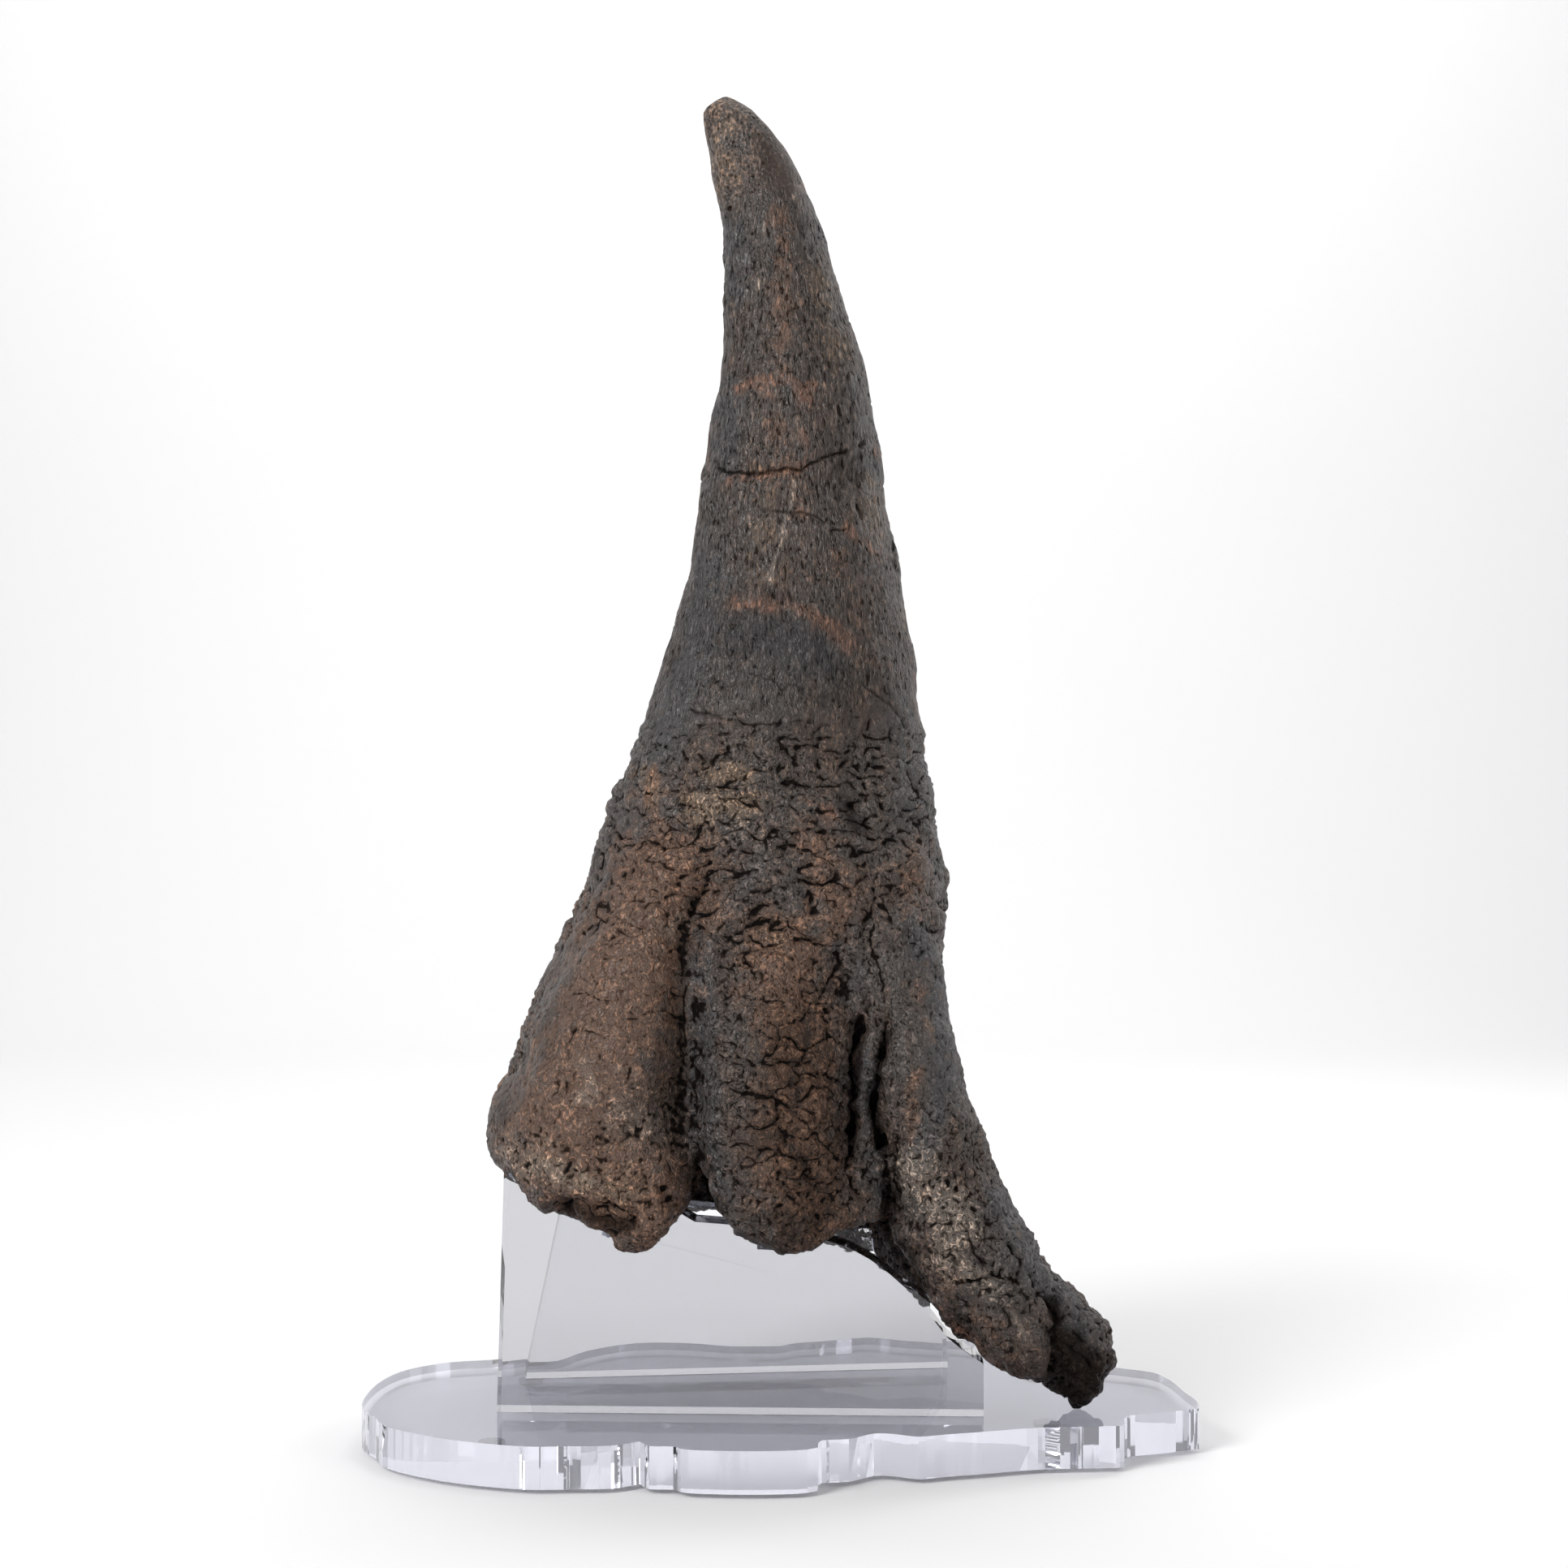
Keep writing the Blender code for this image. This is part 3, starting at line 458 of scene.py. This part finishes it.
def carved_relief(points, normals):
    """Height to add along the normal at each point, in metres: all that can be seen as shape."""
    grain = straightened(points)
    tip, shaft, rugose = zones(points)
    low = (1.0 - tip) * (1.0 - shaft)
    across, down, _ = picture_points(points)
    seen = seen_share(points, normals)
    moved_across, moved_down = wandering(points, across, down)
    rough = 1.0 - 0.65 * strokes(moved_across, moved_down, seen, STAINS_AND_PAINTED_LIGHT["smooth"])

    height = 0.0010 * waves(points, 0.034, 1) + 0.0007 * waves(points, 0.016, 2)
    height += low * (0.0016 * waves(points, 0.030, 11) + 0.0008 * waves(points, 0.019, 12))
    # Leathery middle lobe, and patches like it all round the base
    lobe = strokes(across, down, seen, LEATHERY)
    patches = low * (1.0 - rugose) * (1.0 - seen) * eased(waves(points, 0.07, 10), 0.05, 0.40)
    skin = np.clip(lobe + 0.8 * patches, 0.0, 1.0)
    calm = 1.0 - 0.55 * np.maximum(skin, rugose)
    height += rough * (shaft * shaft_relief(grain) + low * calm * low_relief(points))
    height += rugose * rough * rugose_relief(points)
    height += skin * (0.0034 * leather(points, (0.025, 0.025, 0.0135), 60)
                      + 0.0011 * leather(points, (0.011, 0.011, 0.008), 64) - 0.0034)
    # Spongy pits of the tip, and the eroded rim
    pores, _, _ = scattered(warped(points, 0.006, 0.0015, 69), (0.0030, 0.0030, 0.0048), 70)
    height -= 0.0007 * tip * rough * np.exp(-(pores / 0.33) ** 2)
    rim = low * (1.0 - eased(points[:, 2], 0.165, 0.235))
    coarse, _, number = scattered(warped(points, 0.006, 0.002, 74), 0.0085, 71)
    height += rim * rough * (0.0022 * waves(points, 0.014, 75)
                             + 0.0020 * billows(points, 0.0070, 76) - 0.0010
                             - 0.0022 * (number > 0.5) * np.exp(-(coarse / 0.28) ** 2))
    # Ragged sides of the clefts
    clefts = strokes(across, down, seen, CLEFT_SIDES)
    height += clefts * (0.0030 * waves(points, (0.006, 0.006, 0.010), 79)
                        + 0.0014 * billows(points, 0.005, 80))
    # Broken back knob
    knob = eased(points[:, 0], 0.150, 0.168) * (1.0 - eased(points[:, 2], 0.075, 0.100)) * eased(
        points[:, 1], -0.080, -0.055)
    bent = warped(points, 0.012, 0.004, 77)
    height += knob * (0.0040 * billows(bent, (0.020, 0.020, 0.009), 78) - 0.0022)
    # Scattered nutrient holes, and hairline cracks round the sides and back of the shaft
    sparse, _, number = scattered(points, 0.030, 72)
    height -= 0.0024 * (number > 0.66) * np.exp(-(sparse / 0.065) ** 2)
    _, gap, _ = scattered(grain, (0.060, 0.060, 0.055), 73)
    height -= 0.0010 * shaft * (1.0 - seen) * np.exp(-(gap / 0.022) ** 2)
    return height + marked_front(points, moved_across, moved_down, seen)


def strokes(across, down, seen, marks):
    """How strongly each point is marked, from 0 to 1."""
    total = np.zeros(len(across))
    for line, reach, strength in marks:
        away = from_line(across, down, line, reach * 2.5)
        total = np.maximum(total, strength * np.exp(-(away / reach) ** 2))
    return total * seen


# Mesh work
def coordinates(mesh):
    points = np.zeros(len(mesh.vertices) * 3)
    mesh.vertices.foreach_get("co", points)
    return points.reshape(-1, 3)


def directions(mesh):
    normals = np.zeros(len(mesh.vertices) * 3)
    mesh.vertex_normals.foreach_get("vector", normals)
    return normals.reshape(-1, 3)


def applied(obj):
    """The object's mesh with its modifiers applied. The object and its old mesh go."""
    depsgraph = bpy.context.evaluated_depsgraph_get()
    made = bpy.data.meshes.new_from_object(obj.evaluated_get(depsgraph))
    old = obj.data
    bpy.data.objects.remove(obj)
    bpy.data.meshes.remove(old)
    return made


def linked(name, mesh):
    obj = bpy.data.objects.new(name, mesh)
    bpy.context.scene.collection.objects.link(obj)
    return obj


def dense_bone():
    """The solid of the horn with its facets rounded, as an even and dense mesh."""
    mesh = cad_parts["horn"].data.copy()
    edit = bmesh.new()
    edit.from_mesh(mesh)
    bmesh.ops.remove_doubles(edit, verts=edit.verts, dist=1e-5)
    edit.to_mesh(mesh)
    edit.free()
    obj = linked("dense_bone", mesh)
    rounded = obj.modifiers.new("rounded", "SUBSURF")
    rounded.levels = rounded.render_levels = 2
    even = obj.modifiers.new("even", "REMESH")
    even.mode, even.voxel_size, even.use_smooth_shade = "VOXEL", VOXEL, True
    calmed = obj.modifiers.new("calmed", "SMOOTH")
    calmed.factor, calmed.iterations = 0.5, 8
    return applied(obj)


def thinned(mesh):
    """The mesh with triangles taken out where the bone is plain."""
    obj = linked("thinned", mesh)
    triangles = sum(len(p.vertices) - 2 for p in mesh.polygons)
    thin = obj.modifiers.new("thin", "DECIMATE")
    thin.ratio = min(1.0, TRIANGLES / triangles)
    return applied(obj)


def hollowness(mesh, rounds):
    """How far each vertex stands out of (above 0) or lies in (below 0) the surface around it, in metres."""
    points, normals = coordinates(mesh), directions(mesh)
    edges = np.zeros(len(mesh.edges) * 2, int)
    mesh.edges.foreach_get("vertices", edges)
    a, b = edges.reshape(-1, 2).T
    count = len(points)
    share = np.bincount(a, minlength=count) + np.bincount(b, minlength=count)
    calm = points.copy()
    for _ in range(rounds):
        around = np.stack([
            np.bincount(a, weights=calm[b, k], minlength=count)
            + np.bincount(b, weights=calm[a, k], minlength=count) for k in range(3)], axis=1)
        calm = 0.5 * calm + 0.5 * around / np.maximum(share, 1)[:, None]
    return ((points - calm) * normals).sum(axis=1)


def keep_value(mesh, name, values):
    """Stores one number for each vertex, for the material to read."""
    layer = mesh.attributes.new(name, "FLOAT", "POINT")
    layer.data.foreach_set("value", np.asarray(values, np.float32))


def bone_marks(mesh):
    """Stores the stains, zones and hollows that the bone's material mixes its colours by, painted shade and
    painted highlight among them.
    """
    points, normals = coordinates(mesh), directions(mesh)
    across, down, _ = picture_points(points)
    seen = seen_share(points, normals)
    across, down = wandering(points, across, down)
    tip, shaft, _ = zones(points)
    unseen = 1.0 - seen
    inner = 1.0 - eased(points[:, 2], 0.16, 0.24)
    own = {
        "rust": 0.55 * eased(waves(points, 0.030, 81), 0.42, 0.62),
        "tan": 0.55 * eased(waves(points, 0.050, 82), 0.25, 0.60) + 0.5 * tip,
        "brown": 0.75 * eased(waves(points, 0.090, 83), -0.05, 0.35),
        "slate": 0.75 * eased(waves(points, 0.070, 84), 0.05, 0.40),
        "pale": 0.40 * eased(waves(points, 0.050, 85), 0.30, 0.65),
        "smooth": 0.60 * eased(waves(points, 0.075, 86), 0.10, 0.45),
        "dark": 0.35 * eased(waves(points, 0.060, 87), 0.20, 0.70) + 0.4 * inner,
    }
    for name, marks in STAINS_AND_PAINTED_LIGHT.items():
        front = strokes(across, down, seen, marks)
        keep_value(mesh, name, np.clip(front + unseen * own[name], 0.0, 1.0))
    # Painted shade in the thin cracks too, the deeper the darker
    lines = [(line, 0.85 * width, min(0.9, depth * 400.0)) for line, width, depth in CRACKS if width < 3.5]
    keep_value(mesh, "cracked", strokes(across, down, seen, lines) * (0.35 + 0.65 * shaft))
    keep_value(mesh, "tip", tip)
    keep_value(mesh, "shaft", shaft)
    keep_value(mesh, "small_relief", np.clip(hollowness(mesh, 3) / 0.0006, -1.0, 1.0))
    keep_value(mesh, "large_relief", np.clip(hollowness(mesh, 40) / 0.0030, -1.0, 1.0))


def fossil_horn():
    mesh = dense_bone()
    points, normals = coordinates(mesh), directions(mesh)
    points = points + normals * carved_relief(points, normals)[:, None]
    mesh.vertices.foreach_set("co", points.ravel())
    mesh.update()
    mesh = thinned(mesh)
    mesh.name = "fossil_horn"
    mesh.polygons.foreach_set("use_smooth", np.ones(len(mesh.polygons), bool))
    bone_marks(mesh)
    mesh.materials.clear()
    mesh.materials.append(bone_material())
    horn = linked("fossil_horn", mesh)
    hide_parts("horn")
    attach(horn, "root")


# Materials
def new_material(name):
    """A material with an empty node tree and its output."""
    material = bpy.data.materials.new(name)
    material.use_nodes = True
    tree = material.node_tree
    tree.nodes.clear()
    return material, tree, tree.nodes.new("ShaderNodeOutputMaterial")


def set_or_link(tree, socket, value):
    if isinstance(value, bpy.types.NodeSocket):
        tree.links.new(value, socket)
    elif value is not None:
        socket.default_value = value


def calc(tree, operation, a, b=None, c=None, clamp=False):
    node = tree.nodes.new("ShaderNodeMath")
    node.operation, node.use_clamp = operation, clamp
    for socket, value in zip(node.inputs, (a, b, c)):
        set_or_link(tree, socket, value)
    return node.outputs[0]


def between(tree, value, low, high):
    """0 below low, 1 above high."""
    node = tree.nodes.new("ShaderNodeMapRange")
    node.interpolation_type = "SMOOTHSTEP"
    set_or_link(tree, node.inputs["Value"], value)
    node.inputs["From Min"].default_value = low
    node.inputs["From Max"].default_value = high
    return node.outputs["Result"]


def spread(tree, value, low, high, to_low, to_high):
    node = tree.nodes.new("ShaderNodeMapRange")
    set_or_link(tree, node.inputs["Value"], value)
    for name, number in zip(("From Min", "From Max", "To Min", "To Max"), (low, high, to_low, to_high)):
        node.inputs[name].default_value = number
    return node.outputs["Result"]


def blended(tree, share, a, b, kind="MIX"):
    """Two colours mixed by share."""
    node = tree.nodes.new("ShaderNodeMix")
    node.data_type, node.blend_type, node.clamp_factor = "RGBA", kind, True
    set_or_link(tree, node.inputs[0], share)
    set_or_link(tree, node.inputs[6], a)
    set_or_link(tree, node.inputs[7], b)
    return node.outputs[2]


def stretched(tree, scale):
    """Object coordinates, scaled along each axis."""
    where = tree.nodes.new("ShaderNodeTexCoord")
    node = tree.nodes.new("ShaderNodeMapping")
    node.inputs["Scale"].default_value = scale
    tree.links.new(where.outputs["Object"], node.inputs["Vector"])
    return node.outputs["Vector"]


def cloudy(tree, vector, scale, detail=3.0, roughness=0.55, distortion=0.0):
    node = tree.nodes.new("ShaderNodeTexNoise")
    tree.links.new(vector, node.inputs["Vector"])
    for name, number in (("Scale", scale), ("Detail", detail), ("Roughness", roughness),
                         ("Distortion", distortion)):
        node.inputs[name].default_value = number
    return node.outputs["Fac"]


def cellular(tree, vector, scale):
    node = tree.nodes.new("ShaderNodeTexVoronoi")
    tree.links.new(vector, node.inputs["Vector"])
    node.inputs["Scale"].default_value = scale
    return node.outputs["Distance"]


def stored(tree, name):
    node = tree.nodes.new("ShaderNodeAttribute")
    node.attribute_name = name
    return node.outputs["Fac"]


def grain_height(tree):
    """Fine height of the skin, 0 to 1: lengthwise on the shaft, worm-like below, pitted at the tip."""
    shaft, tip, smooth = stored(tree, "shaft"), stored(tree, "tip"), stored(tree, "smooth")
    lengthwise = cloudy(tree, stretched(tree, (1.0, 1.0, 0.34)), 480.0, 2.0, 0.6, 0.6)
    worms = cloudy(tree, stretched(tree, (1.0, 1.0, 0.8)), 330.0, 2.0, 0.6, 1.3)
    pits = calc(tree, "MULTIPLY", cellular(tree, stretched(tree, (1.0, 1.0, 1.0)), 420.0), 1.1)
    low = calc(tree, "SUBTRACT", 1.0, shaft)
    height = calc(tree, "ADD", calc(tree, "MULTIPLY", lengthwise, shaft),
                  calc(tree, "MULTIPLY", worms, low))
    pitted = calc(tree, "ADD", calc(tree, "MULTIPLY", pits, 0.3), calc(tree, "MULTIPLY", lengthwise, 0.7))
    height = calc(tree, "ADD", calc(tree, "MULTIPLY", height, calc(tree, "SUBTRACT", 1.0, tip)),
                  calc(tree, "MULTIPLY", pitted, tip))
    keep = calc(tree, "SUBTRACT", 1.0, calc(tree, "MULTIPLY", smooth, 0.40))
    middle = calc(tree, "SUBTRACT", height, 0.5)
    return calc(tree, "MULTIPLY_ADD", middle, keep, 0.5)


def ground_colour(tree, middling):
    """Umber bone with the larger stains laid over it, the dark one partly painted shade and the pale one
    partly painted highlight.
    """
    broad = cloudy(tree, stretched(tree, (1.0, 1.0, 1.0)), 14.0, 4.0, 0.6)
    streaks = cloudy(tree, stretched(tree, (1.0, 1.0, 0.12)), 130.0, 3.0, 0.6)
    colour = blended(tree, between(tree, broad, 0.38, 0.62), UMBER, GREY_UMBER)
    streaked = calc(tree, "MULTIPLY", between(tree, streaks, 0.50, 0.68), 0.4)
    colour = blended(tree, streaked, colour, STREAK)
    for name, tone, share in TONES:
        patchy = calc(tree, "MULTIPLY_ADD", calc(tree, "SUBTRACT", middling, 0.5), 1.9, stored(tree, name))
        mask = calc(tree, "MULTIPLY", between(tree, patchy, 0.15, 0.80), share)
        colour = blended(tree, mask, colour, tone)
    return colour


def bone_material():
    material, tree, output = new_material("fossil_bone_weathered")
    shader = tree.nodes.new("ShaderNodeBsdfPrincipled")
    tree.links.new(shader.outputs["BSDF"], output.inputs["Surface"])
    height = grain_height(tree)
    middling = cloudy(tree, stretched(tree, (1.0, 1.0, 1.0)), 75.0, 4.0, 0.65)
    colour = ground_colour(tree, middling)
    # Painted shade in the hollows and cracks
    small, large = stored(tree, "small_relief"), stored(tree, "large_relief")
    shaft = stored(tree, "shaft")
    dips = calc(tree, "MULTIPLY", between(tree, calc(tree, "MULTIPLY", small, -1.0), 0.12, 0.85),
                spread(tree, shaft, 0.0, 1.0, 0.85, 0.40))
    valleys = calc(tree, "MULTIPLY", between(tree, calc(tree, "MULTIPLY", large, -1.0), 0.08, 0.95), 0.5)
    hollow_shade = calc(tree, "ADD", dips, valleys, clamp=True)
    cracked = calc(tree, "MULTIPLY", between(tree, stored(tree, "cracked"), 0.08, 0.80), 0.85)
    hollow_shade = calc(tree, "MAXIMUM", hollow_shade, cracked)
    colour = blended(tree, hollow_shade, colour, PAINTED_SHADE)
    # Painted light and shade of the grain, painted shade over the shaft, and painted shade in the pores
    shade = spread(tree, height, 0.36, 0.64, 0.58, 1.25)
    colour = blended(tree, 1.0, colour, shade, "MULTIPLY")
    shaded = spread(tree, shaft, 0.0, 1.0, 1.0, 0.76)
    colour = blended(tree, 1.0, colour, shaded, "MULTIPLY")
    pores = between(tree, height, 0.42, 0.32)
    deep = calc(tree, "MULTIPLY_ADD", stored(tree, "smooth"), -0.45, 0.50)
    colour = blended(tree, calc(tree, "MULTIPLY", pores, deep, clamp=True), colour, PAINTED_SHADE)
    # Painted highlight on the high grain, most of it in the pale and tan patches
    backs = calc(tree, "ADD", between(tree, small, -0.1, 0.7), 0.35, clamp=True)
    painted_highlight = calc(tree, "MULTIPLY", between(tree, height, 0.53, 0.64), backs)
    highlight_patches = calc(tree, "ADD", stored(tree, "pale"), calc(tree, "MULTIPLY", stored(tree, "tan"), 0.8))
    painted_highlight = calc(tree, "MULTIPLY", painted_highlight, calc(tree, "ADD", highlight_patches, 0.55, clamp=True))
    painted_highlight = calc(tree, "MULTIPLY", painted_highlight, calc(tree, "MULTIPLY_ADD", stored(tree, "dark"), -0.7, 1.0))
    highlit = blended(tree, 1.0, colour, HIGHLIGHT_GAIN, "MULTIPLY")
    colour = blended(tree, calc(tree, "MULTIPLY", painted_highlight, 0.75), colour, highlit)
    tree.links.new(colour, shader.inputs["Base Color"])

    rough = calc(tree, "ADD", spread(tree, middling, 0.3, 0.7, 0.31, 0.48),
                 calc(tree, "MULTIPLY", pores, 0.25))
    tree.links.new(rough, shader.inputs["Roughness"])
    dull = calc(tree, "MAXIMUM", calc(tree, "MAXIMUM", pores, hollow_shade), stored(tree, "dark"))
    tree.links.new(spread(tree, dull, 0.0, 0.8, 0.50, 0.02), shader.inputs["Specular IOR Level"])
    bump = tree.nodes.new("ShaderNodeBump")
    bump.inputs["Strength"].default_value = 1.0
    bump.inputs["Distance"].default_value = 0.0026
    tree.links.new(height, bump.inputs["Height"])
    tree.links.new(bump.outputs["Normal"], shader.inputs["Normal"])
    return material


def clear_material(name, tint_and_shade, roughness, ior):
    """See-through plastic with faint scuffs in its polish."""
    material, tree, output = new_material(name)
    shader = tree.nodes.new("ShaderNodeBsdfPrincipled")
    tree.links.new(shader.outputs["BSDF"], output.inputs["Surface"])
    # For the plates this tint is painted shade
    shader.inputs["Base Color"].default_value = tint_and_shade
    shader.inputs["Transmission Weight"].default_value = 1.0
    shader.inputs["IOR"].default_value = ior
    scuffs = cloudy(tree, stretched(tree, (1.0, 1.0, 1.0)), 22.0, 5.0, 0.7)
    tree.links.new(spread(tree, between(tree, scuffs, 0.55, 0.75), 0.0, 1.0, roughness, roughness + 0.05),
                   shader.inputs["Roughness"])
    return material


def dress_stand():
    """Gives the clear plates and feet their finish and softens their sawn edges."""
    # Each plate's tint is painted shade, set plate by plate
    shades = {
        name: clear_material("clear_acrylic_" + name.split("_")[0], tint_and_shade, ACRYLIC_ROUGHNESS, ACRYLIC_IOR)
        for name, tint_and_shade in PLATE_TINTS_AND_SHADE.items()
    }
    bumper = clear_material("clear_bumper_soft", FOOT_TINT, BUMPER_ROUGHNESS, BUMPER_IOR)
    for name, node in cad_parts.items():
        if name == "horn":
            continue
        node.data.materials.clear()
        node.data.materials.append(shades.get(name, bumper))
        weld = node.modifiers.new("weld", "WELD")
        weld.merge_threshold = 1e-5
        bevel = node.modifiers.new("eased_edges", "BEVEL")
        bevel.width = FOOT_EDGE if name.startswith("foot") else SAWN_EDGE
        bevel.segments, bevel.limit_method, bevel.angle_limit = 2, "ANGLE", math.radians(50)


# The studio
def plain_material(name, tone, roughness):
    material, tree, output = new_material(name)
    shader = tree.nodes.new("ShaderNodeBsdfPrincipled")
    shader.inputs["Base Color"].default_value = tone
    shader.inputs["Roughness"].default_value = roughness
    shader.inputs["Specular IOR Level"].default_value = 0.1
    tree.links.new(shader.outputs["BSDF"], output.inputs["Surface"])
    return material


def backdrop():
    """A pale sheet that is the floor and curves up behind."""
    depth, radius, height, half = 2.2, 1.0, 4.5, 6.0
    profile = [(-5.0, 0.0), (depth, 0.0)]
    profile += [(depth + radius * math.sin(a), radius * (1.0 - math.cos(a)))
                for a in np.linspace(0.0, math.pi / 2, 25)[1:]]
    profile.append((depth + radius, height))
    edit = bmesh.new()
    rows = [[edit.verts.new((x, y, z)) for x in (-half, half)] for y, z in profile]
    for low, high in zip(rows[:-1], rows[1:]):
        edit.faces.new((low[0], low[1], high[1], high[0])).smooth = True
    mesh = bpy.data.meshes.new("backdrop")
    edit.to_mesh(mesh)
    edit.free()
    mesh.materials.append(plain_material("studio_white", (0.93, 0.93, 0.935, 1), 0.9))
    sheet = linked("backdrop", mesh)


def soft_light(name, place, aim, size, power):
    data = bpy.data.lights.new(name, "AREA")
    data.shape, data.size, data.size_y = "RECTANGLE", size[0], size[1]
    data.energy = power
    lamp = bpy.data.objects.new(name, data)
    bpy.context.scene.collection.objects.link(lamp)
    lamp.location = place
    from_lamp = np.array(aim, float) - np.array(place, float)
    from_lamp /= np.linalg.norm(from_lamp)
    turn = math.atan2(from_lamp[0], -from_lamp[1]) + math.pi
    lamp.rotation_euler = (math.acos(-from_lamp[2]), 0.0, turn)


def studio():
    backdrop()
    world = bpy.data.worlds.new("studio")
    bpy.context.scene.world = world
    world.use_nodes = True
    shade = world.node_tree.nodes["Background"]
    shade.inputs["Color"].default_value = (1.0, 1.0, 1.0, 1)
    shade.inputs["Strength"].default_value = SURROUNDING_LIGHT
    for name, place, aim, size, power in LAMPS:
        soft_light(name, place, aim, size, power)
    # Light has to pass and mirror many times inside the thick clear edges
    paths = bpy.context.scene.cycles
    paths.max_bounces = paths.transmission_bounces = MOST_BOUNCES
    paths.glossy_bounces = MOST_MIRRORED
    bpy.context.scene.view_settings.view_transform = "Standard"


def camera():
    data = bpy.data.cameras.new("camera")
    data.sensor_width = SENSOR
    data.lens = FOCAL / PICTURE * SENSOR
    data.clip_start, data.clip_end = 0.05, 50.0
    eye = bpy.data.objects.new("camera", data)
    bpy.context.scene.collection.objects.link(eye)
    eye.location = EYE
    eye.rotation_euler = (math.radians(90.0), 0.0, 0.0)
    bpy.context.scene.camera = eye


fossil_horn()
dress_stand()
studio()
camera()
bpy.context.view_layer.update()
